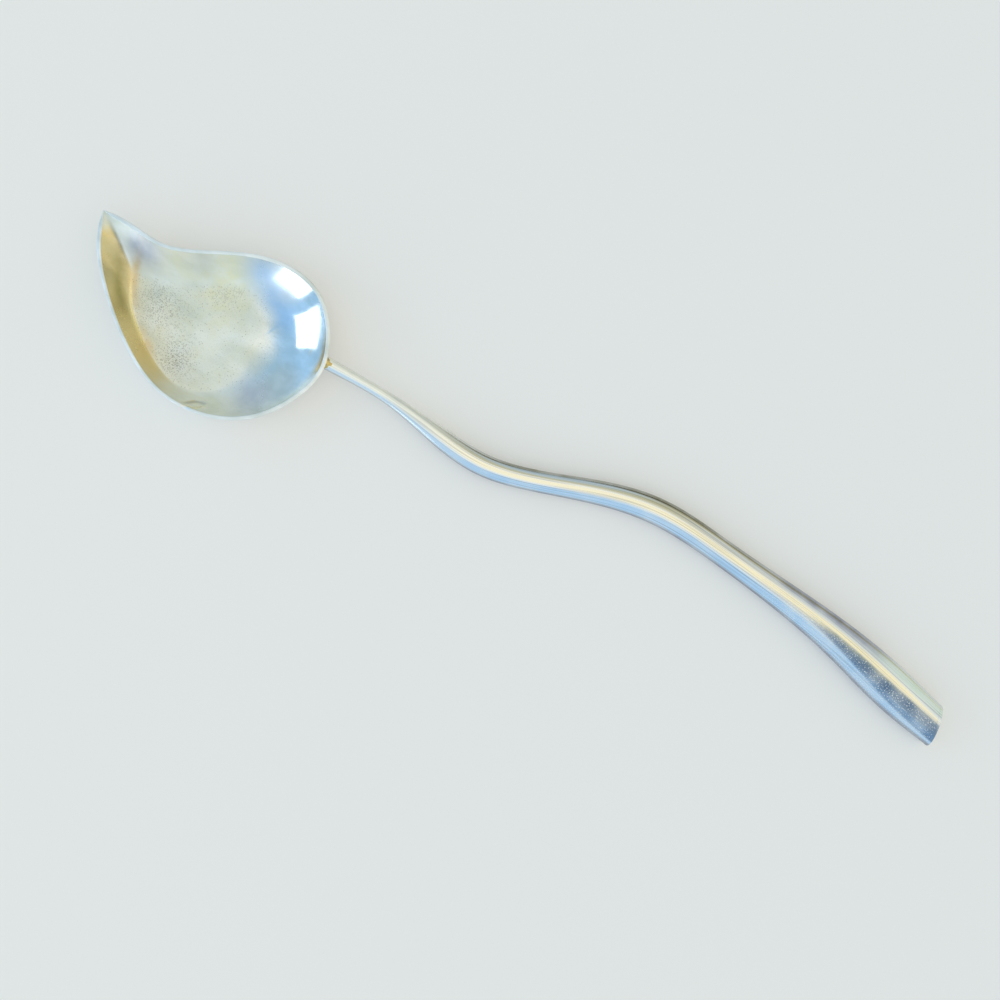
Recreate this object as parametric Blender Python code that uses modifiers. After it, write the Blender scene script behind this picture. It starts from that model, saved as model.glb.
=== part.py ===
"""Serving spoon: a raised leaf-shaped bowl on a long waved handle.

The bowl is one sheet with a pouring tip. A solid shank is soldered to the bowl's outer wall and runs on
as a tang inside the handle, which is two half shells soldered along their sides and closed by an end plate.
Lengths are in metres, +Z is up and +X runs from the pouring tip to the end of the handle. The origin lies
on the flat under the bowl, on which the spoon rests.
"""

import math

import bmesh
import bpy
import numpy as np

MM = 0.001
HUNDREDTH = 0.01
MERGE = 0.001 * MM             # points closer than this are one point
TINY = 1e-6 * MM               # stands for zero where a length divides

# Fits between soldered pieces
SOLDER_GAP = 0.3 * MM

# Bowl: mouth from the tip to the handle's side and across, height, sheet and edge
BOWL_LENGTH = 89.2 * MM
BOWL_WIDTH = 57.1 * MM
RIM_HEIGHT = 10.5 * MM
SHEET = 1.0 * MM
EDGE_ROUND = 0.3 * MM

# Bowl: mouth outline from the tip along the top edge, round the handle end and back along the lower edge.
# Each point has x, y and how far the wall reaches inwards before it runs out into the floor, in hundredths
# of the bowl's length, its width and the widest wall.
WIDEST_WALL = 25.0 * MM
MOUTH = np.array([
    (-65.0, 22.4, 60.0),
    (-52.0, 23.1, 60.0),
    (-40.7, 23.1, 62.0),
    (-29.4, 29.3, 58.0),
    (-12.4, 43.7, 52.0),
    (4.5, 51.3, 66.0),
    (19.2, 47.3, 90.0),
    (30.8, 29.3, 100.0),
    (35.0, 10.9, 100.0),
    (32.1, -10.6, 98.0),
    (22.6, -33.0, 80.0),
    (4.5, -48.1, 34.0),
    (-13.6, -48.7, 15.5),
    (-31.6, -36.3, 13.5),
    (-48.6, -15.9, 21.0),
    (-60.5, 6.3, 48.0),
    (-65.0, 22.4, 60.0),
]) * HUNDREDTH * (BOWL_LENGTH, BOWL_WIDTH, WIDEST_WALL)
JOINT_POINT = MOUTH[:, 0].argmax()    # the mouth point at the shank
JOINT_X = MOUTH[JOINT_POINT, 0]
FLOOR_DISH = 3.0 * MM          # part of the depth that the floor itself sinks
FLOOR_SPAN = 24.0 * MM         # distance from the edge over which the floor sinks
FLAT_CUT = 0.5 * MM            # how much deeper the dish would go without its flat
FLAT_BLEND = 0.4 * MM          # depth over which the dish runs out into the flat
STEEP_SPAN = 5.0 * MM          # walls as narrow as this meet the floor in a crease
ROUND_SPAN = 14.0 * MM         # walls as wide as this run out smoothly
STEEP_POWER = 1.7
ROUND_POWER = 2.0
TIP_RAMP = 30.0 * MM           # length over which the floor climbs to the tip
CREASE_BLEND = 1.2 * MM        # softness of the crease behind the tip
CREASE_REACH = 70.0 * MM       # distance from the tip at which that softness ends
BOWL_POLE = np.array([-18.1, -7.1]) * HUNDREDTH * (BOWL_LENGTH, BOWL_WIDTH)
BOWL_COLUMNS = 90
BOWL_RINGS = 12
RING_CROWDING = 1.5            # rings crowd towards the edge by this power
OUTLINE_STEPS = 240

# Handle: from the bowl to its end, how far it sways sideways, its widest and its deepest place
HANDLE_LENGTH = 239.1 * MM
HANDLE_SWAY = 26.1 * MM
HANDLE_WIDTH = 15.4 * MM
HANDLE_DEPTH = 7.9 * MM
NECK_DROP = 5.2 * MM           # rim down to the underside of the neck at the joint
NECK_FALL = 1.4 * MM           # how much the neck falls between the first two stations
JOINT_LIFT = RIM_HEIGHT - NECK_DROP
INNER_LIFT = (JOINT_LIFT + NECK_FALL) / (JOINT_LIFT * HUNDREDTH)

# Handle: stations with x, y, lift of the underside over the table, half width, crown and belly, in
# hundredths of its length, its sway, the lift at the joint, half its width, its depth and its depth.
STATIONS = np.array([
    (-4.6, 34.1, INNER_LIFT, 32.5, 26.6, 26.6),
    (0.8, 36.0, 100.0, 28.6, 25.3, 25.3),
    (4.2, 37.9, 88.5, 26.0, 24.1, 24.1),
    (10.1, 39.1, 65.4, 27.3, 25.3, 25.3),
    (20.1, 31.4, 30.8, 46.8, 34.2, 32.9),
    (26.0, 31.0, 17.9, 50.6, 36.7, 35.4),
    (34.0, 50.6, 9.0, 49.4, 38.0, 36.7),
    (41.9, 78.9, 6.4, 54.5, 40.5, 38.0),
    (50.3, 99.6, 5.1, 61.0, 43.0, 39.2),
    (61.6, 100.0, 5.1, 59.7, 43.0, 39.2),
    (73.0, 93.1, 3.8, 68.8, 45.6, 41.8),
    (84.3, 81.2, 1.3, 88.3, 49.4, 45.6),
    (92.7, 66.7, 0.0, 100.0, 51.9, 48.1),
    (100.0, 55.6, 1.3, 89.6, 50.6, 46.8),
]) * HUNDREDTH * (HANDLE_LENGTH, HANDLE_SWAY, JOINT_LIFT, HANDLE_WIDTH / 2, HANDLE_DEPTH, HANDLE_DEPTH)
STATIONS[:, 0] += JOINT_X
SECTION_POWER = 2.2            # fuller than an ellipse, whose power is 2
SECTION_POINTS = 20
SEAM_LAND = 0.025              # share of a half section that stands upright beside each seam
STATION_STEP = 5.5 * MM
SPINE_PROBE = 0.1 * MM         # step for reading the spine's direction
HANDLE_WALL = 1.0 * MM
END_SLANT = math.radians(20.0)
SLANT_REACH = 30.0 * MM        # length over which the sections turn to the slant
END_PLATE = 1.2 * MM

# Shank and its tang
NECK_LENGTH = 41.0 * MM        # from the bowl to the shoulder
SHOULDER_X = JOINT_X + NECK_LENGTH
TANG_LENGTH = 28.0 * MM
TANG_CLEARANCE = 0.4 * MM
TANG_TAPER = 0.7               # tang's end over its root

# Solder collar
BEAD = 0.4 * MM                # thickness at the bowl
BEAD_LIP = 0.1 * MM            # thickness where it runs out on the neck
BEAD_LENGTH = 3.0 * MM         # reach along the neck
BEAD_STEPS = 3
BEAD_LEAN = 0.9                # run over rise of the bowl's wall at the joint
CUT_MARGIN = 6.0 * MM          # how far a cutter runs past what it cuts

# Finishes: colour and roughness
SILVER = ((0.78, 0.76, 0.70), 0.25)
SOLDER = ((0.74, 0.62, 0.36), 0.35)
SHARP_ANGLE = math.radians(50.0)    # edges sharper than this are shaded as edges
SQUARE_ANGLE = math.radians(70.0)   # edges sharper than this are rounded


def spline(knots, values, at):
    """Natural cubic curve through values at the knots, read at the places in at."""
    steps = np.diff(knots)
    count = len(knots)
    matrix = np.eye(count)
    bends = np.zeros_like(values)
    for i in range(1, count - 1):
        matrix[i, i - 1:i + 2] = steps[i - 1], 2 * (steps[i - 1] + steps[i]), steps[i]
        bends[i] = 6 * ((values[i + 1] - values[i]) / steps[i] - (values[i] - values[i - 1]) / steps[i - 1])
    bends = np.linalg.solve(matrix, bends)
    i = np.clip(np.searchsorted(knots, at) - 1, 0, count - 2)
    step = steps[i][:, None]
    before = (knots[i + 1] - at)[:, None]
    after = (at - knots[i])[:, None]
    curve = (bends[i] * before ** 3 + bends[i + 1] * after ** 3) / (6 * step)
    curve += (values[i] / step - bends[i] * step / 6) * before
    curve += (values[i + 1] / step - bends[i + 1] * step / 6) * after
    return curve


def smooth_min(a, b, blend):
    """The lesser of a and b, with the corner rounded where they differ by less than blend."""
    blend = np.maximum(blend, TINY)
    near = np.maximum(blend - np.abs(a - b), 0.0) / blend
    return np.minimum(a, b) - near ** 2 * blend / 4


def mouth_shares():
    """Share of the way round from the tip at which each mouth point lies, by straight steps."""
    chords = np.linalg.norm(np.diff(MOUTH[:, :2], axis=0), axis=1)
    return np.concatenate(([0.0], np.cumsum(chords))) / chords.sum()


def mouth(at):
    """Mouth points and wall spans at shares of the way round from the tip."""
    return spline(mouth_shares(), MOUTH, at)


def wall_depth(places, edge):
    """Depth below the rim that one side of the mouth gives, from the distance to that side's edge."""
    start = edge[:-1, :2]
    run = np.diff(edge[:, :2], axis=0)
    share = ((places[:, None] - start) * run).sum(-1) / (run ** 2).sum(-1)
    share = np.clip(share, 0.0, 1.0)
    distances = np.linalg.norm(places[:, None] - start - share[..., None] * run, axis=-1)
    nearest = distances.argmin(1)
    row = np.arange(len(places))
    distance = distances[row, nearest]
    span = edge[nearest, 2] + share[row, nearest] * (edge[nearest + 1, 2] - edge[nearest, 2])
    power = np.interp(span, (STEEP_SPAN, ROUND_SPAN), (STEEP_POWER, ROUND_POWER))
    wall = RIM_HEIGHT - SHEET + FLAT_CUT - FLOOR_DISH
    depth = wall * (1 - np.maximum(1 - distance / span, 0.0) ** power)
    return depth + FLOOR_DISH * (1 - np.maximum(1 - distance / FLOOR_SPAN, 0.0) ** 2)


def bowl_height(places):
    """Height of the sheet's inner face: the lesser depth of the two sides, eased to the tip and the flat."""
    outline = mouth(np.linspace(0.0, 1.0, OUTLINE_STEPS + 1))
    split = round(mouth_shares()[JOINT_POINT] * OUTLINE_STEPS)
    tip_distance = np.linalg.norm(places - outline[0, :2], axis=1)
    blend = CREASE_BLEND * np.clip(1 - tip_distance / CREASE_REACH, 0.0, 1.0)
    depth = smooth_min(wall_depth(places, outline[:split + 1]), wall_depth(places, outline[split:]), blend)
    depth = np.maximum(depth, 0.0) * (1 - np.maximum(1 - tip_distance / TIP_RAMP, 0.0) ** 2)
    return RIM_HEIGHT - smooth_min(depth, RIM_HEIGHT - SHEET, FLAT_BLEND)


def bowl_rings():
    """Rings of the sheet's inner face, from the pole on the floor out to the mouth."""
    edge = mouth(np.arange(BOWL_COLUMNS) / BOWL_COLUMNS)[:, :2]
    shares = 1 - (1 - np.linspace(0.0, 1.0, BOWL_RINGS + 1)) ** RING_CROWDING
    rings = []
    for share in shares[:-1]:
        places = BOWL_POLE + share * (edge - BOWL_POLE)
        rings.append(np.column_stack((places, bowl_height(places))))
    rings.append(np.column_stack((edge, np.full(len(edge), RIM_HEIGHT))))
    return rings


def handle_sizes(x):
    """Spine, half width, crown and belly of the handle at each x."""
    y, lift, half_width, crown, belly = spline(STATIONS[:, 0], STATIONS[:, 1:], x).T
    spine = np.column_stack((x, y, np.maximum(lift, 0.0) + belly))
    return spine, half_width, crown, belly


def handle_directions(x):
    """Directions along the spine, across it to the left, and up, at each x."""
    ahead = handle_sizes(x + SPINE_PROBE)[0] - handle_sizes(x - SPINE_PROBE)[0]
    ahead /= np.linalg.norm(ahead, axis=1)[:, None]
    side = np.column_stack((-ahead[:, 1], ahead[:, 0], np.zeros_like(x)))
    side /= np.linalg.norm(side, axis=1)[:, None]
    return ahead, side, np.cross(ahead, side)


def handle_rings(x, angles, grow=0.0, shift=0.0, lean=0.0):
    """Sections of the handle at each x, at angles from the right seam over the crown.

    grow widens a section all round, shift moves it along the spine, and lean tips its top forwards.
    """
    spine, half_width, crown, belly = handle_sizes(x)
    ahead, side, up = handle_directions(x)
    cosine = np.cos(angles)
    sine = np.sin(angles)
    across = np.sign(cosine) * np.abs(cosine) ** (2 / SECTION_POWER)
    rise = np.sign(sine) * np.abs(sine) ** (2 / SECTION_POWER)
    height = np.where(rise > 0, (crown + grow)[:, None] * rise, (belly + grow)[:, None] * rise)
    width = -(half_width + grow)[:, None] * across
    turn = np.clip(1 - (STATIONS[-1, 0] - x) / SLANT_REACH, 0.0, 1.0)
    turn = turn ** 2 * (3 - 2 * turn)
    along = shift - math.tan(END_SLANT) * turn[:, None] * width + lean * height
    return (spine[:, None] + along[..., None] * ahead[:, None] + width[..., None] * side[:, None]
            + height[..., None] * up[:, None])


def full_turn():
    """Angles of a closed section."""
    return np.arange(SECTION_POINTS) * 2 * math.pi / SECTION_POINTS


def half_turn(heights):
    """Angles of half sections of these heights, stopping short of each seam by half the solder gap."""
    start = np.arcsin((0.5 * SOLDER_GAP / heights) ** (SECTION_POWER / 2))[:, None]
    between = np.linspace(SEAM_LAND, 1 - SEAM_LAND, SECTION_POINTS // 2 + 1)
    return start + (math.pi - 2 * start) * np.concatenate(([0.0], between, [1.0]))


def stations(start, end):
    """Even stations from start to end, about one step apart."""
    return np.linspace(start, end, max(2, round((end - start) / STATION_STEP)) + 1)


def skin(mesh, rings, closed=True):
    """Put the lofted faces between neighbouring rings into the mesh and return the rings' vertices."""
    loops = []
    for ring in rings:
        loops.append([mesh.verts.new(point) for point in ring])
    for lower, upper in zip(loops, loops[1:]):
        for i in range(len(lower) if closed else len(lower) - 1):
            j = (i + 1) % len(lower)
            mesh.faces.new((lower[i], lower[j], upper[j], upper[i]))
    return loops


def finish_object(name, mesh, collection, finish=SILVER):
    """Make an object of a mesh, with its own material."""
    colour, roughness = finish
    data = bpy.data.meshes.new(name)
    mesh.to_mesh(data)
    mesh.free()
    data.shade_smooth()
    data.set_sharp_from_angle(angle=SHARP_ANGLE)
    material = bpy.data.materials.new(name)
    material.use_nodes = True
    shader = material.node_tree.nodes["Principled BSDF"]
    shader.inputs["Base Color"].default_value = (*colour, 1.0)
    shader.inputs["Metallic"].default_value = 1.0
    shader.inputs["Roughness"].default_value = roughness
    material.diffuse_color = (*colour, 1.0)
    data.materials.append(material)
    piece = bpy.data.objects.new(name, data)
    collection.objects.link(piece)
    return piece


def lofted_solid(name, rings, collection, finish=SILVER):
    """Closed solid lofted through rings, with flat ends."""
    mesh = bmesh.new()
    loops = skin(mesh, rings)
    mesh.faces.new(loops[0])
    mesh.faces.new(loops[-1])
    bmesh.ops.recalc_face_normals(mesh, faces=mesh.faces)
    return finish_object(name, mesh, collection, finish)


def as_cutter(piece):
    """Show a piece as a wire guide that is left out of pictures."""
    piece.hide_render = True
    piece.display_type = "WIRE"
    return piece


def cut(piece, cutter):
    """Take a cutter's volume out of a piece."""
    boolean = piece.modifiers.new("cut_" + cutter.name, "BOOLEAN")
    boolean.operation = "DIFFERENCE"
    boolean.solver = "EXACT"
    boolean.object = cutter


def thicken(piece, thickness):
    """Give an open surface its wall, on the side away from its normals."""
    wall = piece.modifiers.new("wall", "SOLIDIFY")
    wall.thickness = thickness
    wall.offset = -1.0
    wall.use_even_offset = True


def round_edges(piece, width):
    """Round the square edges of a piece."""
    bevel = piece.modifiers.new("edges", "BEVEL")
    bevel.width = width
    bevel.segments = 2
    bevel.limit_method = "ANGLE"
    bevel.angle_limit = SQUARE_ANGLE


def bowl_surface():
    """The sheet's inner face as an open surface whose normals point up."""
    mesh = bmesh.new()
    skin(mesh, bowl_rings())
    bmesh.ops.remove_doubles(mesh, verts=mesh.verts, dist=MERGE)
    mesh.normal_update()
    if sum(face.normal.z for face in mesh.faces) < 0:
        bmesh.ops.reverse_faces(mesh, faces=mesh.faces)
        mesh.normal_update()
    return mesh


def make_bowl(collection):
    """The raised sheet."""
    bowl = finish_object("bowl", bowl_surface(), collection)
    thicken(bowl, SHEET)
    round_edges(bowl, EDGE_ROUND)
    return bowl


def make_bowl_core(collection):
    """Guide that fills the bowl and its sheet, with the solder gap outside it."""
    mesh = bowl_surface()
    moves = [(vertex, vertex.normal * (SHEET + SOLDER_GAP)) for vertex in mesh.verts]
    for vertex, move in moves:
        vertex.co -= move
    border = [edge for edge in mesh.edges if edge.is_boundary]
    raised = bmesh.ops.extrude_edge_only(mesh, edges=border)["geom"]
    top = [item for item in raised if isinstance(item, bmesh.types.BMVert)]
    for vertex in top:
        vertex.co.z = RIM_HEIGHT + CUT_MARGIN
    loop = [item for item in raised if isinstance(item, bmesh.types.BMEdge) and item.is_boundary]
    bmesh.ops.edgeloop_fill(mesh, edges=loop)
    bmesh.ops.recalc_face_normals(mesh, faces=mesh.faces)
    return as_cutter(finish_object("bowl_core", mesh, collection))


def make_shank(collection, bowl_core):
    """Solid neck, fitted to the bowl's wall, with a shoulder and a tapered tang for the handle."""
    neck = handle_rings(stations(STATIONS[0, 0], SHOULDER_X), full_turn())
    tang_x = stations(SHOULDER_X, SHOULDER_X + TANG_LENGTH)
    tang = handle_rings(tang_x, full_turn(), -HANDLE_WALL - TANG_CLEARANCE)
    spine = handle_sizes(tang_x)[0][:, None]
    taper = np.linspace(1.0, TANG_TAPER, len(tang_x))[:, None, None]
    tang = spine + (tang - spine) * taper
    shank = lofted_solid("shank", np.concatenate((neck, tang)), collection)
    cut(shank, bowl_core)
    return shank


def make_solder(collection, cutters, bowl_core):
    """Collar of hard solder that fills the corner between the bowl's wall and the neck."""
    reach = np.linspace(0.0, 1.0, BEAD_STEPS + 1)
    x = np.concatenate(([JOINT_X - CUT_MARGIN], JOINT_X + reach * BEAD_LENGTH))
    thickness = np.concatenate(([BEAD], BEAD_LIP + (BEAD - BEAD_LIP) * (1 - reach) ** 2))
    rings = handle_rings(x, full_turn(), SOLDER_GAP + thickness, lean=BEAD_LEAN)
    solder = lofted_solid("bowl_solder", rings, collection, SOLDER)
    sleeve_x = stations(STATIONS[0, 0], JOINT_X + BEAD_LENGTH + CUT_MARGIN)
    sleeve = lofted_solid("neck_sleeve", handle_rings(sleeve_x, full_turn(), SOLDER_GAP), cutters)
    cut(solder, bowl_core)
    cut(solder, as_cutter(sleeve))
    return solder


def make_handle_half(name, collection, front):
    """One half shell of the handle: the front over the crown or the back round the belly."""
    x = stations(SHOULDER_X + SOLDER_GAP, STATIONS[-1, 0])
    crown, belly = handle_sizes(x)[2:]
    if front:
        rings = handle_rings(x, half_turn(crown))[::-1]
    else:
        rings = handle_rings(x, -half_turn(belly))
    mesh = bmesh.new()
    skin(mesh, rings, closed=False)
    half = finish_object(name, mesh, collection)
    thicken(half, HANDLE_WALL)
    return half


def make_end_plate(collection):
    """Plate soldered on the slanted end, flush with the handle's sides."""
    outside = SOLDER_GAP + END_PLATE
    steps = ((SOLDER_GAP, 0.0), (outside - EDGE_ROUND, 0.0), (outside, -EDGE_ROUND))
    rings = [handle_rings(STATIONS[-1:, 0], full_turn(), grow, shift)[0] for shift, grow in steps]
    return lofted_solid("handle_end_plate", rings, collection)


def main():
    """Clear the scene and build the spoon."""
    for item in list(bpy.data.objects):
        bpy.data.objects.remove(item, do_unlink=True)
    parts = bpy.data.collections.new("serving_spoon")
    cutters = bpy.data.collections.new("serving_spoon_cutters")
    for collection in (parts, cutters):
        bpy.context.scene.collection.children.link(collection)
    make_bowl(parts)
    bowl_core = make_bowl_core(cutters)
    make_shank(parts, bowl_core)
    make_solder(parts, cutters, bowl_core)
    make_handle_half("handle_front_half", parts, front=True)
    make_handle_half("handle_back_half", parts, front=False)
    make_end_plate(parts)


main()
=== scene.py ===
"""Looks of a serving spoon in tarnished silver plate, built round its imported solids.

Lengths are in metres, +Z is up and +X runs from the pouring tip to the end of the handle. Each new piece is
a grid of points worked out with numpy, in the place of the solid that it stands for.
"""

import math

import bpy
import numpy as np
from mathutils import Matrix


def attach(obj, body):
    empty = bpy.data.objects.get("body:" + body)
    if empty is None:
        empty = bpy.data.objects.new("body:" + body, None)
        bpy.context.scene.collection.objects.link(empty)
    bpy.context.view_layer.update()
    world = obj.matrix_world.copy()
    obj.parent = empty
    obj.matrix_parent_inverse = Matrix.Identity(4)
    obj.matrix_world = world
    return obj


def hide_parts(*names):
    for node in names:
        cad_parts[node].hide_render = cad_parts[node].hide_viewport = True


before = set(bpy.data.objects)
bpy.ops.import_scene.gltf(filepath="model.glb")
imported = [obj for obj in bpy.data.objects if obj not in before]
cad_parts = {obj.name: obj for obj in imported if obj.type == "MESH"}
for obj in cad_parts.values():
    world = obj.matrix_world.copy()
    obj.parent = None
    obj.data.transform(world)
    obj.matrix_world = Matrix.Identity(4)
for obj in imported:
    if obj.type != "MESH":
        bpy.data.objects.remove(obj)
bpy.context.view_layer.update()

MM = 0.001
HUNDREDTH = 0.01
TINY = 1e-6 * MM               # stands for zero where a length divides

# Bowl, with the part's own sizes
BOWL_LENGTH = 89.2 * MM
BOWL_WIDTH = 57.1 * MM
RIM_HEIGHT = 10.5 * MM
SHEET = 1.0 * MM
WIDEST_WALL = 25.0 * MM

# Mouth outline from the tip along the top edge, round the handle end and back along the lower edge: x, y and
# how far the wall reaches inwards, in hundredths of the bowl's length, its width and the widest wall.
MOUTH = np.array([
    (-65.0, 22.4, 60.0),
    (-52.0, 23.1, 60.0),
    (-40.7, 23.1, 62.0),
    (-29.4, 29.3, 58.0),
    (-12.4, 43.7, 56.0),
    (4.5, 51.3, 80.0),
    (19.2, 47.3, 100.0),
    (30.8, 29.3, 100.0),
    (35.0, 10.9, 100.0),
    (32.1, -10.6, 98.0),
    (22.6, -33.0, 80.0),
    (4.5, -48.1, 34.0),
    (-13.6, -48.7, 15.5),
    (-31.6, -36.3, 13.5),
    (-48.6, -15.9, 21.0),
    (-60.5, 6.3, 48.0),
    (-65.0, 22.4, 60.0),
]) * HUNDREDTH * (BOWL_LENGTH, BOWL_WIDTH, WIDEST_WALL)
JOINT_POINT = MOUTH[:, 0].argmax()    # the mouth point at the shank
JOINT_X = MOUTH[JOINT_POINT, 0]
FLOOR_DISH = 3.0 * MM
FLOOR_SPAN = 24.0 * MM
FLAT_CUT = 0.5 * MM
FLAT_BLEND = 0.4 * MM
FLOOR_BLEND = 2.4 * MM         # how far the inner face, rubbed by spoons and polish, eases into the floor
STEEP_SPAN = 5.0 * MM
ROUND_SPAN = 14.0 * MM
STEEP_POWER = 1.7
ROUND_POWER = 2.0
TIP_RAMP = 30.0 * MM
CREASE_BLEND = 1.2 * MM
CREASE_REACH = 70.0 * MM
BOWL_POLE = np.array([-18.1, -7.1]) * HUNDREDTH * (BOWL_LENGTH, BOWL_WIDTH)
OUTLINE_STEPS = 960
BOWL_COLUMNS = 480
BOWL_RINGS = 139
OUTER_THINNING = 3             # the outer face keeps every third ring
RING_CROWDING = 1.5
POLE_HOLE = 0.0005             # share of the way out at which the first ring lies
LIP_STEPS = 6                  # points round each corner of the rim
RIM_ROUND = 0.25 * MM
RIM_INSET = 0.4 * MM           # how far inside the mouth the inner face ends
WIDEST_RIM = 1.4 * MM
RIM_TAPER = 5.0 * MM           # length by the tip over which the rim narrows

DENT_PLACE = np.array([0.9, -26.3]) * MM
DENT_LENGTH = 7.2 * MM
DENT_WIDTH = 3.4 * MM
DENT_DEPTH = 0.9 * MM

# Handle, with the part's own sizes
HANDLE_LENGTH = 239.1 * MM
HANDLE_SWAY = 26.1 * MM
HANDLE_WIDTH = 15.4 * MM
HANDLE_DEPTH = 7.9 * MM
NECK_DROP = 5.2 * MM
NECK_FALL = 1.4 * MM
JOINT_LIFT = RIM_HEIGHT - NECK_DROP
INNER_LIFT = (JOINT_LIFT + NECK_FALL) / (JOINT_LIFT * HUNDREDTH)

# Stations with x, y, lift of the underside over the floor, half width, crown and belly, in hundredths of the
# handle's length, its sway, the lift at the joint, half its width, its depth and its depth.
STATIONS = np.array([
    (-4.6, 34.1, INNER_LIFT, 32.5, 26.6, 26.6),
    (0.8, 36.0, 100.0, 28.6, 25.3, 25.3),
    (4.2, 37.9, 88.5, 26.0, 24.1, 24.1),
    (10.1, 39.1, 65.4, 27.3, 25.3, 25.3),
    (20.1, 31.4, 30.8, 46.8, 34.2, 32.9),
    (26.0, 31.0, 17.9, 50.6, 36.7, 35.4),
    (34.0, 50.6, 9.0, 49.4, 38.0, 36.7),
    (41.9, 78.9, 6.4, 54.5, 40.5, 38.0),
    (50.3, 99.6, 5.1, 61.0, 43.0, 39.2),
    (61.6, 100.0, 5.1, 59.7, 43.0, 39.2),
    (73.0, 93.1, 3.8, 68.8, 45.6, 41.8),
    (84.3, 81.2, 1.3, 88.3, 49.4, 45.6),
    (92.7, 66.7, 0.0, 100.0, 51.9, 48.1),
    (100.0, 55.6, 1.3, 89.6, 50.6, 46.8),
]) * HUNDREDTH * (HANDLE_LENGTH, HANDLE_SWAY, JOINT_LIFT, HANDLE_WIDTH / 2, HANDLE_DEPTH, HANDLE_DEPTH)
STATIONS[:, 0] += JOINT_X
HANDLE_END = STATIONS[-1, 0]
SECTION_POWER = 2.2
SPINE_PROBE = 0.1 * MM
HANDLE_WALL = 1.0 * MM
END_SLANT = math.radians(20.0)
SLANT_REACH = 30.0 * MM
END_PLATE = 1.5 * MM           # the plate with its solder
NECK_LENGTH = 41.0 * MM
SHOULDER_X = JOINT_X + NECK_LENGTH
TANG_LENGTH = 28.0 * MM
TANG_CLEARANCE = 0.4 * MM
TANG_TAPER = 0.7
HAIRLINE = 0.1 * MM            # open joint round the end plate
END_EASE = 0.4 * MM            # rounding of the end plate's outer edge
EASE_STEPS = 7
ROW_STEP = 0.8 * MM            # distance between rows along the handle
SECTION_STEPS = 96             # points round a section
SHARP_ANGLE = math.radians(40.0)

# Solder at the joint
BEAD = 0.45 * MM
BEAD_LENGTH = 2.2 * MM
BEAD_ROOT = 0.2 * MM           # how deep the bead's hidden side lies in the neck
BEAD_STEPS = 10
JOINT_SINK = 0.3 * MM          # how far past the middle of the sheet the neck goes
JOINT_SEARCH = np.linspace(JOINT_X - 9.0 * MM, JOINT_X + 0.2 * MM, 240)

# Camera: straight down, from the picture's middle
CAMERA_HEIGHT = 345.0 * MM
CAMERA_PLACE = (105.4 * MM, 1.1 * MM)
CAMERA_TURN = math.radians(32.0)
LENS = 36.0
SENSOR = 36.0
PICTURE_RIGHT = np.array([math.cos(CAMERA_TURN), math.sin(CAMERA_TURN), 0.0])
PICTURE_UP = np.array([-math.sin(CAMERA_TURN), math.cos(CAMERA_TURN), 0.0])

# Tones of the bowl, some of them tarnish and some painted light: where each tone starts and is full, or
# starts to fade and is gone
GOLD_START = np.array([2.0, 5.0]) * MM             # from the tip
PALE_GOLD_START = np.array([30.0, 42.0]) * MM
# Painted reflection: a darker band across the middle of the steep wall
REFLECTION_BAND_START = np.array([4.0, 12.0]) * MM
REFLECTION_BAND_FADE = np.array([26.0, 36.0]) * MM
# Painted highlight along the line where the lower wall meets the floor
FOOT_HIGHLIGHT_START = np.array([-44.0, -38.0]) * MM         # along x
FOOT_HIGHLIGHT_FADE = np.array([-29.0, -24.0]) * MM
FOOT_HIGHLIGHT_WIDTH = 0.5 * MM
CREASE_SHIFT = 0.8 * MM
CREASE_WIDTH = 1.8 * MM
MIRROR_START = np.array([-95.0, -68.0]) * MM       # to the right of the picture's middle

# Spots of toning on the bowl, as bells in plan: share, x, y and radius, the last three in millimetres
CREASE_SPOTS = ((1.0, -43.0, 3.0, 9.0), (0.6, -36.0, -6.0, 6.0), (1.0, -26.0, -18.0, 5.0))
SEAM_SPOTS = ((1.0, -49.5, 8.0, 5.5),)
PITTED_SPOTS = (
    (0.75, -29.0, -4.0, 9.0),
    (0.9, -15.0, -17.0, 7.0),
    (0.6, -13.0, 14.0, 8.0),
    (0.5, 14.0, -14.0, 5.0),
)
PITTED_ALL_OVER = 0.06
YELLOW_SPOTS = ((0.5, -13.0, 14.0, 12.0), (0.2, -18.0, -16.0, 9.0))
LAVENDER_SPOTS = (
    (0.7, -44.0, 9.2, 4.5),
    (0.6, -38.5, 9.8, 4.5),
    (0.35, -22.0, 16.5, 5.0),
    (0.65, 15.0, -14.0, 7.0),
    (0.2, -13.0, -18.0, 5.0),
)
SKY_BLUE_SPOTS = ((0.9, -4.0, 24.5, 5.5), (0.7, 3.0, 20.0, 5.0), (0.5, 10.0, 14.5, 5.0))

# Toning and painted reflections of the handle, along x in the same way
CHALK_FADE = np.array([60.0, 98.0]) * MM
OLIVE_REFLECTION_START = np.array([80.0, 110.0]) * MM
FLANK_CHANGE = np.array([175.0, 215.0]) * MM       # from the painted room reflection to lavender
DINGS_START = np.array([180.0, 225.0]) * MM
# Painted dark reflection band on the handle by the end
DARK_REFLECTION_START = np.array([212.0, 228.0]) * MM
DARK_REFLECTION_MIDDLE = 235.0 * MM
DARK_REFLECTION_SPREAD = 0.22 / (20.0 * MM)                  # radians that the band widens by along the handle
GREEN_START = np.array([232.0, 254.0]) * MM

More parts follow.
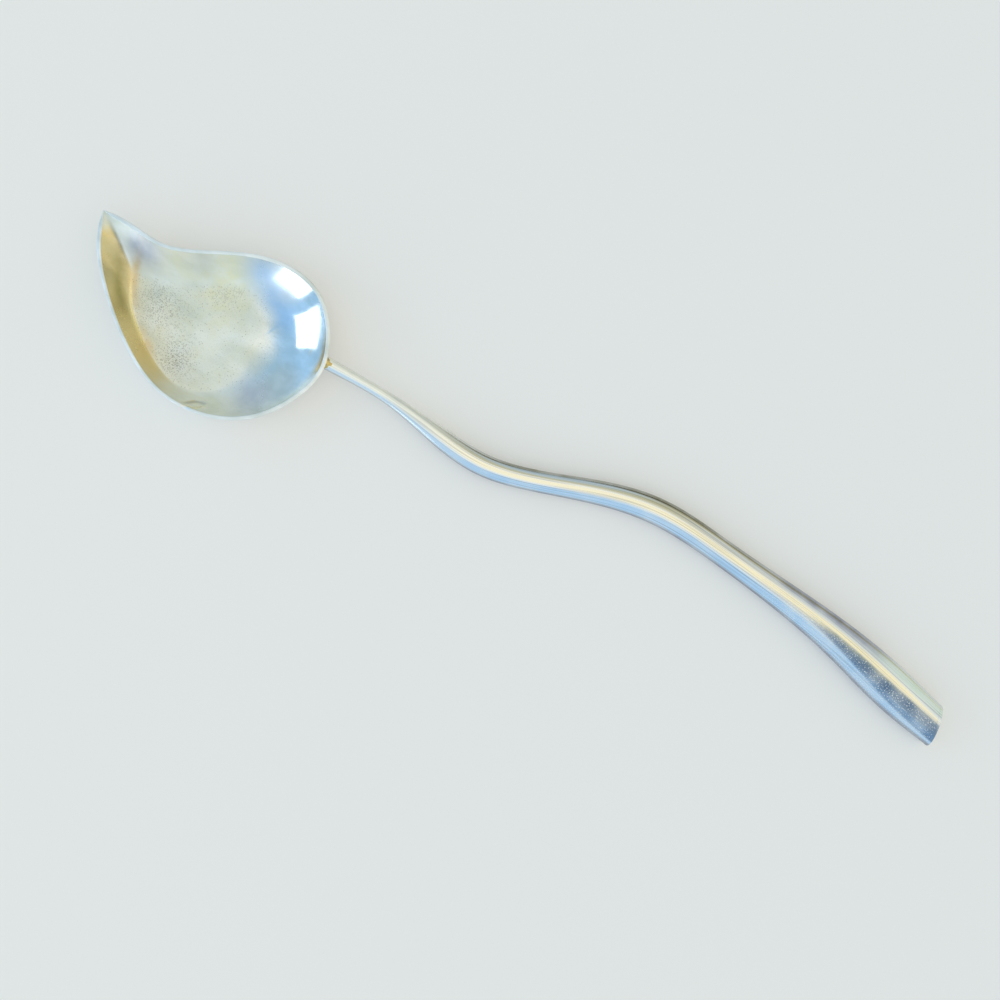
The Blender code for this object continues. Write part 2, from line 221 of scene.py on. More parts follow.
# Room light: patches by heading from the picture's right, height, inner and outer radius, all in degrees, and
# colour, mixed one over the other on the overhead light.
OVERHEAD = "#FAFAF2"
ROOM_PATCHES = (
    (165.0, 10.0, 46.0, 73.0, "#9FC9EE"),
    (256.0, 20.0, 40.0, 56.0, "#CFE2F0"),
    (60.0, 25.0, 28.0, 52.0, "#B8B390"),
    (15.0, 35.0, 14.0, 30.0, "#DCE3E3"),
    (95.0, 15.0, 20.0, 48.0, "#B4C5CE"),
    (60.0, 3.0, 8.0, 22.0, "#6F6A50"),
    (317.0, 68.0, 2.0, 15.0, "#BFCAD2"),
    (20.0, 87.0, 8.0, 15.0, "#FFF6D6"),
    (0.0, 74.0, 5.0, 11.0, "#FFF4CE"),
    (0.0, 63.0, 5.0, 11.0, "#FFF2C6"),
)
ROOM_STRENGTH = 1.12
FLOOR_SIDE = 3.0               # half the floor's length
FLOOR_GLOW = 0.25              # share of the floor's own light in what is seen of it

# Panes of light on the picture's left: name, place up the picture, height over the floor, width and height
PANES = (
    ("window_near", -0.74, 0.25, 0.68, 0.40),
    ("window_far", 0.075, 0.38, 0.41, 0.48),
)
PANE_DISTANCE = 1.0
PANE_RADIANCE = 2.0
CEILING_LIGHT_LENGTH = 1.15
CEILING_LIGHT_WIDTH = 0.36
CEILING_LIGHT_HEIGHT = 2.0
CEILING_LIGHT_SHIFT = 0.52     # to the picture's right of its middle
CEILING_RADIANCE = 1.2


def spline(knots, values, at):
    """Natural cubic curve through values at the knots, read at the places in at."""
    steps = np.diff(knots)
    count = len(knots)
    matrix = np.eye(count)
    bends = np.zeros_like(values)
    for i in range(1, count - 1):
        matrix[i, i - 1:i + 2] = steps[i - 1], 2 * (steps[i - 1] + steps[i]), steps[i]
        bends[i] = 6 * ((values[i + 1] - values[i]) / steps[i] - (values[i] - values[i - 1]) / steps[i - 1])
    bends = np.linalg.solve(matrix, bends)
    i = np.clip(np.searchsorted(knots, at) - 1, 0, count - 2)
    step = steps[i][:, None]
    before = (knots[i + 1] - at)[:, None]
    after = (at - knots[i])[:, None]
    curve = (bends[i] * before ** 3 + bends[i + 1] * after ** 3) / (6 * step)
    curve += (values[i] / step - bends[i] * step / 6) * before
    curve += (values[i + 1] / step - bends[i + 1] * step / 6) * after
    return curve


def smooth_step(low, high, value):
    """0 below low, 1 above high, and the cubic 3t^2 - 2t^3 between them."""
    share = np.clip((value - low) / (high - low), 0.0, 1.0)
    return share ** 2 * (3 - 2 * share)


def smooth_min(a, b, blend):
    """The lesser of a and b, with the corner rounded where they differ by less than blend."""
    blend = np.maximum(blend, TINY)
    near = np.maximum(blend - np.abs(a - b), 0.0) / blend
    return np.minimum(a, b) - near ** 2 * blend / 4


def unit(vectors):
    """Vectors scaled to length 1."""
    return vectors / np.maximum(np.linalg.norm(vectors, axis=-1, keepdims=True), TINY)


def mouth_shares():
    """Share of the way round from the tip at which each mouth point lies, by straight steps."""
    chords = np.linalg.norm(np.diff(MOUTH[:, :2], axis=0), axis=1)
    return np.concatenate(([0.0], np.cumsum(chords))) / chords.sum()


def mouth(at):
    """Mouth points and wall spans at shares of the way round from the tip."""
    return spline(mouth_shares(), MOUTH, at)


def nearest_edge(places, edge):
    """Distance to the nearest of the edge's straight steps, and the wall's span there."""
    start = edge[:-1, :2]
    run = np.diff(edge[:, :2], axis=0)
    share = ((places[:, None] - start) * run).sum(-1) / (run ** 2).sum(-1)
    share = np.clip(share, 0.0, 1.0)
    distances = np.linalg.norm(places[:, None] - start - share[..., None] * run, axis=-1)
    nearest = distances.argmin(1)
    row = np.arange(len(places))
    span = edge[nearest, 2] + share[row, nearest] * (edge[nearest + 1, 2] - edge[nearest, 2])
    return distances[row, nearest], span


def wall_depth(places, edge):
    """Depth below the rim that one side of the mouth gives.

    The wall's depth times 1 less (1 - distance / span) to a power, plus the floor's own dish in the same
    form, where the distance is that to the edge.
    """
    distance, span = nearest_edge(places, edge)
    power = np.interp(span, (STEEP_SPAN, ROUND_SPAN), (STEEP_POWER, ROUND_POWER))
    wall = RIM_HEIGHT - SHEET + FLAT_CUT - FLOOR_DISH
    depth = wall * (1 - np.maximum(1 - distance / span, 0.0) ** power)
    return depth + FLOOR_DISH * (1 - np.maximum(1 - distance / FLOOR_SPAN, 0.0) ** 2)


def mouth_sides():
    """The mouth's outline in fine steps, from the tip to the joint and from the joint back to the tip."""
    outline = mouth(np.linspace(0.0, 1.0, OUTLINE_STEPS + 1))
    split = round(mouth_shares()[JOINT_POINT] * OUTLINE_STEPS)
    return outline[:split + 1], outline[split:]


def bowl_height(places, flat_blend=FLAT_BLEND):
    """Height of the sheet's inner face: the lesser depth of the two sides, eased to the tip and the flat."""
    upper, lower = mouth_sides()
    tip_distance = np.linalg.norm(places - upper[0, :2], axis=1)
    blend = CREASE_BLEND * np.clip(1 - tip_distance / CREASE_REACH, 0.0, 1.0)
    depth = smooth_min(wall_depth(places, upper), wall_depth(places, lower), blend)
    depth = np.maximum(depth, 0.0) * (1 - np.maximum(1 - tip_distance / TIP_RAMP, 0.0) ** 2)
    return RIM_HEIGHT - smooth_min(depth, RIM_HEIGHT - SHEET, flat_blend)


def hammer_waves(places):
    """Shallow waves that raising leaves in a sheet: sines of five directions and lengths, summed.

    Each wave has a length in millimetres, a heading in radians and a height in millimetres.
    """
    waves = ((17.0, 0.3, 0.030), (12.0, 1.4, 0.022), (9.5, 2.3, 0.016), (14.0, 2.9, 0.024), (7.0, 0.9, 0.008))
    rise = np.zeros(places.shape[:-1])
    for length, heading, height in waves:
        along = places @ np.array([math.cos(heading), math.sin(heading)])
        rise += height * MM * np.sin(along / (length * MM) * 2 * math.pi + heading)
    return rise


def dent(places):
    """Dent low on the wall: DENT_DEPTH times 1 less the squared distance from its middle, over an oval."""
    away = places - DENT_PLACE
    along = away @ PICTURE_RIGHT[:2] / DENT_LENGTH
    across = away @ PICTURE_UP[:2] / DENT_WIDTH
    return DENT_DEPTH * np.maximum(1 - (along ** 2 + across ** 2) * 4, 0.0)


def dent_shade_and_highlight(places):
    """Painted shade on the upper edge and a painted highlight on the lower edge of the dent: bells across its
    oval, over each half.
    """
    axes = np.column_stack((PICTURE_RIGHT[:2] / DENT_LENGTH, PICTURE_UP[:2] / DENT_WIDTH))
    away = (places - DENT_PLACE) @ axes
    ring = np.exp(-((2 * np.linalg.norm(away, axis=-1) - 0.7) / 0.3) ** 2)
    return ring * smooth_step(-0.05, 0.2, away[..., 1]), ring * smooth_step(0.0, 0.2, -away[..., 1])


def face_normals(face):
    """Upward normals of rings of points, from the steps along and across them."""
    outwards = np.gradient(face, axis=0)
    round_about = np.roll(face, -1, axis=1) - np.roll(face, 1, axis=1)
    return unit(np.cross(round_about, outwards))


def bowl_sheet():
    """Rings of the whole sheet, and the normals of its inner face.

    Inner face: rays from the pole to the mouth, at the dish's height, drawn in a little so that the rim ends
    at the mouth. Outer face: the same with its flat left crisp, moved by the sheet's thickness against its
    normals. Rim: a level band as wide as the slanted sheet, with its corners rounded by quarter circles.
    """
    edge = mouth(np.arange(BOWL_COLUMNS) / BOWL_COLUMNS)[:, :2]
    along = np.roll(edge, -1, axis=0) - np.roll(edge, 1, axis=0)
    outward = unit(np.column_stack((-along[:, 1], along[:, 0])))
    shares = 1 - (1 - np.linspace(POLE_HOLE, 1.0, BOWL_RINGS)) ** RING_CROWDING
    shares = shares[:, None, None]
    places = BOWL_POLE + shares * (edge - BOWL_POLE)
    taper = smooth_step(0.0, RIM_TAPER, np.linalg.norm(edge - edge[0], axis=-1))
    inset = places - shares ** 4 * RIM_INSET * taper[:, None] * outward
    waves = hammer_waves(places) * (1 - shares[..., 0] ** 6) - dent(places)
    inner = np.dstack((inset, np.stack([bowl_height(ring, FLOOR_BLEND) for ring in places]) + waves))
    outer = np.dstack((inset, np.stack([bowl_height(ring) for ring in places])))
    normals = face_normals(inner)
    outer -= SHEET * face_normals(outer)
    outer[..., 2] = np.maximum(outer[..., 2], 0.0)
    steepness = np.linalg.norm(normals[-1, :, :2], axis=-1)
    width = np.minimum(SHEET / np.maximum(steepness, TINY), WIDEST_RIM)
    width = 2 * RIM_ROUND + (width - 2 * RIM_ROUND) * taper
    turn = np.linspace(0.0, math.pi / 2, LIP_STEPS)[:, None]
    near_corner = np.tile(RIM_ROUND * (1 - np.cos(turn)), len(width))
    far_corner = width + RIM_ROUND * (np.sin(turn) - 1)
    out = np.concatenate((near_corner, far_corner))[1:]
    rise = np.concatenate((RIM_ROUND * np.sin(turn), RIM_ROUND * np.cos(turn)))[1:]
    rise = np.broadcast_to(rise, out.shape)
    band = inner[-1] + np.dstack((out[..., None] * outward, rise))
    return np.concatenate((inner, band, outer[::-OUTER_THINNING])), normals


def handle_sizes(x):
    """Spine, half width, crown and belly of the handle at each x."""
    y, lift, half_width, crown, belly = spline(STATIONS[:, 0], STATIONS[:, 1:], x.ravel()).T
    spine = np.column_stack((x.ravel(), y, np.maximum(lift, 0.0) + belly))
    shape = x.shape
    return spine.reshape(*shape, 3), half_width.reshape(shape), crown.reshape(shape), belly.reshape(shape)


def handle_skin(x, angle, grow=0.0, shift=0.0):
    """Points on the handle at each x and angle, which runs from the right seam over the crown.

    A section is a superellipse: cosine and sine to the power 2 / SECTION_POWER, times half the width and
    the crown or belly. Near the end it leans to the slanted cut. grow widens it all round, and shift moves
    it along the spine.
    """
    x, angle, grow, shift = np.broadcast_arrays(x, angle, grow, shift)
    spine, half_width, crown, belly = handle_sizes(x)
    ahead = unit(handle_sizes(x + SPINE_PROBE)[0] - handle_sizes(x - SPINE_PROBE)[0])
    side = unit(np.stack((-ahead[..., 1], ahead[..., 0], np.zeros_like(x)), axis=-1))
    up = np.cross(ahead, side)
    cosine = np.cos(angle)
    sine = np.sin(angle)
    across = np.sign(cosine) * np.abs(cosine) ** (2 / SECTION_POWER)
    rise = np.sign(sine) * np.abs(sine) ** (2 / SECTION_POWER)
    height = np.where(rise > 0, crown + grow, belly + grow) * rise
    width = -(half_width + grow) * across
    turn = smooth_step(0.0, 1.0, 1 - (HANDLE_END - x) / SLANT_REACH)
    along = shift - math.tan(END_SLANT) * turn * width
    return spine + along[..., None] * ahead + width[..., None] * side + height[..., None] * up


def section_angles():
    """Angles round a closed section, starting below, where no one looks."""
    return np.linspace(0.0, 2 * math.pi, SECTION_STEPS, endpoint=False) - math.pi / 2


def rows(start, end):
    """Even x places from start to end, about a row step apart."""
    return np.linspace(start, end, round((end - start) / ROW_STEP) + 1)


def meeting_x(angles, grow):
    """x at which each line along the neck comes out of the middle of the bowl's sheet."""
    lines = handle_skin(JOINT_SEARCH[:, None], angles[None, :], grow)
    heights = np.stack([bowl_height(line[:, :2]) for line in lines])
    slope = np.gradient(heights, JOINT_SEARCH, axis=0)
    clear = lines[..., 2] < heights - 0.5 * SHEET * np.sqrt(1 + slope ** 2)
    clear[-1] = True
    return JOINT_SEARCH[clear.argmax(0)] - JOINT_SINK


def quads(index):
    """Corner numbers of the faces between the rows of an index grid."""
    return np.stack((index[:-1, :-1], index[:-1, 1:], index[1:, 1:], index[1:, :-1]), axis=-1).reshape(-1, 4)


def closed_faces(row_count, column_count, ring):
    """Faces of a grid whose columns run round it: its rows join up too if it is a ring, or else each end is
    closed by strips from its first half of points to its second half."""
    index = np.arange(row_count * column_count).reshape(row_count, column_count)
    index = np.column_stack((index, index[:, 0]))
    if ring:
        return quads(np.concatenate((index, index[:1])))
    half = column_count // 2
    caps = []
    for end in (index[0, :-1], index[-1, :-1][::-1]):
        caps.append(quads(np.stack((end[:half], end[:half - 1:-1]))))
    return np.concatenate((quads(index), *caps))


def volume(points, faces):
    """Volume inside closed faces, positive if they point outwards: sums of corner triple products."""
    a, b, c, d = (points[faces[:, i]] for i in range(4))
    return (np.cross(a, b) * c + np.cross(a, c) * d).sum() / 6


def piece(name, grid, material, stands_for, values, ring=False):
    """Closed object from a grid, smooth but for its sharp edges, with point values for its material."""
    points = grid.reshape(-1, 3)
    faces = closed_faces(*grid.shape[:2], ring)
    if volume(points, faces) < 0:
        faces = faces[:, ::-1]
    mesh = bpy.data.meshes.new(name)
    mesh.from_pydata(points, [], faces.tolist())
    for key, value in values.items():
        kind = "FLOAT_VECTOR" if value.ndim == 3 else "FLOAT"
        attribute = mesh.attributes.new(key, kind, "POINT")
        field = "vector" if kind == "FLOAT_VECTOR" else "value"
        attribute.data.foreach_set(field, np.ascontiguousarray(value, dtype=np.float32).ravel())
    mesh.shade_smooth()
    mesh.set_sharp_from_angle(angle=SHARP_ANGLE)
    mesh.validate()
    mesh.materials.append(material)
    made = bpy.data.objects.new(name, mesh)
    bpy.context.scene.collection.objects.link(made)
    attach(made, "root")
    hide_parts(*stands_for)


def linear(code):
    """Linear colour of an sRGB hex code."""
    channels = np.array([int(code[i:i + 2], 16) for i in (1, 3, 5)]) / 255
    bright = ((channels + 0.055) / 1.055) ** 2.4
    return (*np.where(channels <= 0.04045, channels / 12.92, bright), 1.0)


def add(tree, kind, inputs, **settings):
    """Add a node to a tree: settings are its properties, and inputs are its sockets' values or links.

    A socket has its number where names repeat. A MapRange turns its 1 and 2 to its 3 and 4, or to 0 and 1.
    A Mix's 0 is the share of its second value, which is 3, or 7 if it mixes colours.
    """
    node = tree.nodes.new("ShaderNode" + kind)
    for name, value in settings.items():
        setattr(node, name, value)
    for socket, value in inputs.items():
        if isinstance(value, bpy.types.NodeSocket):
            tree.links.new(value, node.inputs[socket])
        else:
            node.inputs[socket].default_value = value
    return node


def new_material(name):
    """Empty material, its node tree and its metal shader."""
    material = bpy.data.materials.new(name)
    material.use_nodes = True
    shader = material.node_tree.nodes["Principled BSDF"]
    shader.inputs["Metallic"].default_value = 1.0
    return material, material.node_tree, shader


def bowl_silver():
    """Silver plate on a raised sheet, burnished and then tarnished by use.

    A soft mirror on the floor and by the handle, pitted where food lay and chalky on the other walls, with
    gold on the steep wall that is partly tarnish toning and partly a painted reflection of warm room light, a
    painted reflection band across that wall, a painted highlight where the lower wall meets the floor,
    painted shade and a painted highlight on the dent's edges, and thin yellow, lavender and blue films.
    """
    material, tree, shader = new_material("silver_plate_raised_tarnished")
    place = add(tree, "TexCoord", {}).outputs["Object"]
    masks = {}
    for key in ("steep_wall", "pale_gold_tarnish_and_reflection", "reflection_band", "foot_highlight", "floor", "mirror", "pitting", "crease", "yellow",
                "lavender", "sky_blue", "seam", "chalk"):
        masks[key] = add(tree, "Attribute", {}, attribute_name=key).outputs["Fac"]
    drift = add(tree, "Mapping", {"Vector": place, "Rotation": (0.0, 0.0, -CAMERA_TURN),
                                  "Scale": (1 / (20 * MM), 1 / (9 * MM), 1 / (9 * MM))}).outputs[0]
    cloud = add(tree, "TexNoise", {"Vector": drift, "Scale": 1.0, "Detail": 4.0}).outputs["Fac"]
    patch = add(tree, "TexNoise", {"Vector": place, "Scale": 1 / (4 * MM), "Detail": 4.0}).outputs["Fac"]
    grain = add(tree, "TexNoise", {"Vector": place, "Scale": 1 / (0.45 * MM), "Detail": 3.0}).outputs["Fac"]

    film = add(tree, "MapRange", {"Value": cloud, 1: 0.40, 2: 0.64}).outputs[0]
    colour = add(tree, "Mix", {0: film, 6: linear("#F8F9F6"), 7: linear("#DADED8")},
                 data_type="RGBA").outputs[2]

    # Each tone with the range of patchy noise that breaks it up, its least and greatest share and its colour
    tones = (
        ("yellow", 0.30, 0.70, 0.45, 1.0, "#F0EAC4"),
        # Gold on the steep wall and the pale gold after it: partly tarnish toning, partly a painted
        # reflection of warm room light
        ("steep_wall", 0.20, 0.80, 0.80, 1.0, "#DCC88C"),
        ("pale_gold_tarnish_and_reflection", 0.30, 0.70, 0.60, 1.0, "#FFE9B0"),
        # Painted reflection: a darker greenish-brown band across the middle of the steep wall
        ("reflection_band", 0.30, 0.70, 0.60, 1.0, "#A89C66"),
        ("crease", 0.35, 0.65, 0.40, 0.9, "#E8CB96"),
        # Painted highlight: a bright yellow-white line where the lower wall meets the floor, and on the
        # dent's lower edge
        ("foot_highlight", 0.20, 0.80, 0.70, 1.0, "#FFEFB4"),
        ("lavender", 0.30, 0.65, 0.65, 0.95, "#A9B2CA"),
        ("sky_blue", 0.30, 0.70, 0.75, 1.0, "#AECBE9"),
        # Dark line along the seam by the tip, and painted shade on the dent's upper edge
        ("seam", 0.30, 0.70, 0.50, 0.8, "#6E7058"),
    )
    for key, low, high, least, most, code in tones:
        broken = add(tree, "MapRange", {"Value": patch, 1: low, 2: high, 3: least, 4: most}).outputs[0]
        share = add(tree, "Math", {0: broken, 1: masks[key]}, operation="MULTIPLY").outputs[0]
        colour = add(tree, "Mix", {0: share, 6: colour, 7: linear(code)}, data_type="RGBA").outputs[2]

    cell = add(tree, "TexVoronoi", {"Vector": place, "Scale": 1 / (0.55 * MM)})
    away = cell.outputs["Distance"]
    dot = add(tree, "MapRange", {"Value": away, 1: 0.15, 2: 0.40, 3: 1.0, 4: 0.0}).outputs[0]
    lot = add(tree, "SeparateColor", {0: cell.outputs["Color"]}).outputs[0]
    chosen = add(tree, "Math", {0: lot, 1: masks["pitting"]}, operation="LESS_THAN").outputs[0]
    pit = add(tree, "Math", {0: dot, 1: chosen}, operation="MULTIPLY").outputs[0]
    stain = add(tree, "Math", {0: pit, 1: 0.5}, operation="MULTIPLY").outputs[0]
    chain = add(tree, "MapRange", {"Value": grain, 1: 0.50, 2: 0.64, 3: 0.0, 4: 0.75}).outputs[0]
    chain = add(tree, "Math", {0: chain, 1: masks["pitting"]}, operation="MULTIPLY").outputs[0]
    stain = add(tree, "Math", {0: stain, 1: chain}, operation="MAXIMUM").outputs[0]
    colour = add(tree, "Mix", {0: stain, 6: colour, 7: linear("#746B55")}, data_type="RGBA").outputs[2]
    mottle = add(tree, "MapRange", {"Value": grain, 1: 0.36, 2: 0.54, 3: 0.14, 4: 0.0}).outputs[0]
    mottle = add(tree, "Math", {0: mottle, 1: masks["floor"]}, operation="MULTIPLY").outputs[0]
    colour = add(tree, "Mix", {0: mottle, 6: colour, 7: linear("#8C8A78")}, data_type="RGBA").outputs[2]
    tree.links.new(colour, shader.inputs["Base Color"])
    metal = add(tree, "MapRange", {"Value": masks["chalk"], 1: 0.0, 2: 1.0, 3: 1.0, 4: 0.6}).outputs[0]
    tree.links.new(metal, shader.inputs["Metallic"])

    haze = add(tree, "MapRange", {"Value": masks["mirror"], 1: 0.0, 2: 1.0, 3: 0.45, 4: 0.11}).outputs[0]
    haze = add(tree, "Mix", {0: masks["steep_wall"], 2: haze, 3: 0.24}).outputs[0]
    haze = add(tree, "Mix", {0: masks["foot_highlight"], 2: haze, 3: 0.16}).outputs[0]
    uneven = add(tree, "MapRange", {"Value": patch, 1: 0.3, 2: 0.7, 3: -0.03, 4: 0.05}).outputs[0]
    rough = add(tree, "Math", {0: haze, 1: uneven}, operation="ADD").outputs[0]
    tree.links.new(rough, shader.inputs["Roughness"])

    relief = add(tree, "Math", {0: grain, 1: 0.4}, operation="MULTIPLY").outputs[0]
    relief = add(tree, "Math", {0: relief, 1: pit}, operation="SUBTRACT").outputs[0]
    bump = add(tree, "Bump", {"Height": relief, "Strength": 0.30, "Distance": 0.03 * MM}).outputs[0]
    tree.links.new(bump, shader.inputs["Normal"])
    return material


def handle_silver():
    """Silver plate on drawn tube and rod, buffed lengthwise and scratched in the drawer.

    A bright mirror drawn out into fine lengthwise streaks, dinged by the end and chalky on the neck, with
    thin colours along it that the dings break through: a painted reflection of the sky on the -Y flank, a
    painted reflection of the darker room on the +Y flank, a painted dark reflection band by the end, lavender
    on the flanks that is partly tarnish and partly painted reflection, and a pale green tint by the end.
    """
    material, tree, shader = new_material("silver_plate_drawn_buffed")
    run = add(tree, "Attribute", {}, attribute_name="run").outputs["Vector"]
    masks = {}
    for key in ("dings", "sky_reflection", "lavender", "olive_room_reflection", "dark_reflection_band", "green", "chalk"):
        masks[key] = add(tree, "Attribute", {}, attribute_name=key).outputs["Fac"]
    long_way = add(tree, "Mapping", {"Vector": run,
                                     "Scale": (1 / (50 * MM), 1 / (0.45 * MM), 1.0)}).outputs[0]
    streak = add(tree, "TexNoise", {"Vector": long_way, "Scale": 1.0, "Detail": 3.0}).outputs["Fac"]
    patch = add(tree, "TexNoise", {"Vector": run, "Scale": 1 / (9 * MM), "Detail": 3.0}).outputs["Fac"]
    speck = add(tree, "TexNoise", {"Vector": run, "Scale": 1 / (0.4 * MM), "Detail": 3.0}).outputs["Fac"]

    ding = add(tree, "MapRange", {"Value": speck, 1: 0.58, 2: 0.66}).outputs[0]
    ding = add(tree, "Math", {0: ding, 1: masks["dings"]}, operation="MULTIPLY").outputs[0]
    unbroken = add(tree, "MapRange", {"Value": patch, 1: 0.3, 2: 0.65, 3: 0.5, 4: 1.0}).outputs[0]
    undinged = add(tree, "Math", {0: 1.0, 1: ding}, operation="SUBTRACT").outputs[0]
    colour = linear("#EAECEC")
    # The pale blue, greenish-brown and dark blue-grey colours are painted reflections, and the lavender is
    # partly tarnish and partly painted reflection
    films = (("sky_reflection", "#C0D8EC"), ("lavender", "#9799A8"), ("olive_room_reflection", "#8A866E"), ("dark_reflection_band", "#6883A0"),
             ("green", "#DBE7D5"), ("chalk", "#FFFDF2"))
    for key, code in films:
        film = add(tree, "Math", {0: unbroken, 1: masks[key]}, operation="MULTIPLY").outputs[0]
        film = add(tree, "Math", {0: film, 1: undinged}, operation="MULTIPLY").outputs[0]
        colour = add(tree, "Mix", {0: film, 6: colour, 7: linear(code)}, data_type="RGBA").outputs[2]
    dull = add(tree, "MapRange", {"Value": streak, 1: 0.50, 2: 0.68, 3: 0.0, 4: 0.4}).outputs[0]
    colour = add(tree, "Mix", {0: dull, 6: colour, 7: linear("#7E868E")}, data_type="RGBA").outputs[2]
    tree.links.new(colour, shader.inputs["Base Color"])

    rough = add(tree, "MapRange", {"Value": streak, 1: 0.3, 2: 0.7, 3: 0.10, 4: 0.20}).outputs[0]
    rough = add(tree, "Mix", {0: masks["chalk"], 2: rough, 3: 0.42}).outputs[0]
    rough = add(tree, "Mix", {0: ding, 2: rough, 3: 0.55}).outputs[0]
    tree.links.new(rough, shader.inputs["Roughness"])
    metal = add(tree, "MapRange", {"Value": masks["chalk"], 1: 0.0, 2: 1.0, 3: 1.0, 4: 0.6}).outputs[0]
    tree.links.new(metal, shader.inputs["Metallic"])
    relief = add(tree, "Math", {0: streak, 1: ding}, operation="SUBTRACT").outputs[0]
    bump = add(tree, "Bump", {"Height": relief, "Strength": 0.5, "Distance": 0.05 * MM}).outputs[0]
    tree.links.new(bump, shader.inputs["Normal"])
    return material


def hard_solder():
    """Hard solder run into the joint and left as it set: yellow, a little dull and pitted."""
    material, tree, shader = new_material("hard_solder_as_set")
    place = add(tree, "TexCoord", {}).outputs["Object"]
    grain = add(tree, "TexNoise", {"Vector": place, "Scale": 1 / (0.6 * MM), "Detail": 3.0}).outputs["Fac"]
    fac = add(tree, "MapRange", {"Value": grain, 1: 0.3, 2: 0.7}).outputs[0]
    colour = add(tree, "Mix", {0: fac, 6: linear("#E6D294"), 7: linear("#BFA562")},
                 data_type="RGBA").outputs[2]
    tree.links.new(colour, shader.inputs["Base Color"])
    shader.inputs["Roughness"].default_value = 0.35
    bump = add(tree, "Bump", {"Height": grain, "Strength": 0.5, "Distance": 0.05 * MM}).outputs[0]
    tree.links.new(bump, shader.inputs["Normal"])
    return material


def spread(inner, ring_count):
    """A value of the inner face carried over the lip and the outer face, where it is 0."""
    value = np.zeros((ring_count, inner.shape[1]))
    value[:len(inner)] = inner
    return value


def bells(places, spots):
    """Sum of spots in plan, each its share times exp of minus the square of its distance over its radius."""
    total = np.zeros(places.shape[:-1])
    for share, x, y, radius in spots:
        total += share * np.exp(-(((places - np.array([x, y]) * MM) / (radius * MM)) ** 2).sum(-1))
    return total


def bowl_toning(places, normals):
    """Share of each tone at each point of the bowl's inner face, from its slope, its facing and its place.

    The steep wall faces the picture's right, and its gold is partly painted reflection. The line where the
    lower wall meets the floor carries a painted highlight, with the crease beside it, and the seam is the
    line by the tip where the two walls meet. A band across the steep wall is painted reflection, and the
    dent's edges carry painted shade above and a painted highlight below.
    """
    slope = np.linalg.norm(normals[..., :2], axis=-1) / np.maximum(normals[..., 2], TINY)
    facing = unit(normals[..., :2]) @ PICTURE_RIGHT[:2]
    rightwards = (places - CAMERA_PLACE) @ PICTURE_RIGHT[:2]
    tip_distance = np.linalg.norm(places - MOUTH[0, :2], axis=-1)
    upper, lower = mouth_sides()
    lower_reach, lower_span = np.stack([nearest_edge(ring, lower) for ring in places], axis=1)
    upper_reach, upper_span = np.stack([nearest_edge(ring, upper) for ring in places], axis=1)
    up_wall = 1 - lower_reach / lower_span
    near_foot = lower_reach - lower_span
    ridge = upper_reach / upper_span - lower_reach / lower_span
    dent_shade, dent_highlight = dent_shade_and_highlight(places)

    floor = 1 - smooth_step(0.1, 0.6, slope)
    steep_wall = smooth_step(0.55, 1.0, facing) * smooth_step(0.3, 0.6, slope)
    steep_wall *= smooth_step(*GOLD_START, tip_distance)
    # Painted reflection: a darker band across the middle of the steep wall, partway along it
    reflection_band = steep_wall * np.exp(-((up_wall - 0.5) / 0.25) ** 2)
    reflection_band *= smooth_step(*REFLECTION_BAND_START, tip_distance) * (1 - smooth_step(*REFLECTION_BAND_FADE, tip_distance))
    # Painted highlight along the line where the lower wall meets the floor
    foot_highlight = np.exp(-(near_foot / FOOT_HIGHLIGHT_WIDTH) ** 2) * smooth_step(*FOOT_HIGHLIGHT_START, places[..., 0])
    foot_highlight *= 1 - smooth_step(*FOOT_HIGHLIGHT_FADE, places[..., 0])
    crease = np.exp(-((near_foot - CREASE_SHIFT) / CREASE_WIDTH) ** 2) * bells(places, CREASE_SPOTS)
    seam = np.exp(-(ridge / 0.07) ** 2) * bells(places, SEAM_SPOTS)
    mirror = floor + (1 - floor) * smooth_step(-0.15, 0.35, -facing)
    mirror *= smooth_step(*MIRROR_START, rightwards)
    return {
        # The steep wall's gold: partly tarnish toning, partly a painted reflection of warm room light
        "steep_wall": steep_wall,
        "pale_gold_tarnish_and_reflection": steep_wall * smooth_step(*PALE_GOLD_START, tip_distance),
        "reflection_band": reflection_band,
        "foot_highlight": foot_highlight + 0.7 * dent_highlight,
        "floor": floor,
        "mirror": mirror,
        "pitting": floor * (PITTED_ALL_OVER + bells(places, PITTED_SPOTS)),
        "crease": crease,
        "yellow": 0.45 * (1 - mirror) + bells(places, YELLOW_SPOTS),
        "lavender": bells(places, LAVENDER_SPOTS),
        "sky_blue": bells(places, SKY_BLUE_SPOTS),
        # The seam's dark line, plus painted shade on the dent's upper edge
        "seam": seam + 0.55 * dent_shade,
        "chalk": (1 - mirror) * (1 - steep_wall),
    }


def make_bowl(material):
    """The raised sheet, with the shares of its tones, none of them over 1."""
    rings, normals = bowl_sheet()
    toning = bowl_toning(rings[:len(normals), :, :2], normals)
    values = {key: spread(np.minimum(value, 1.0), len(rings)) for key, value in toning.items()}
    piece("bowl_sheet", rings, material, ["bowl"], values)


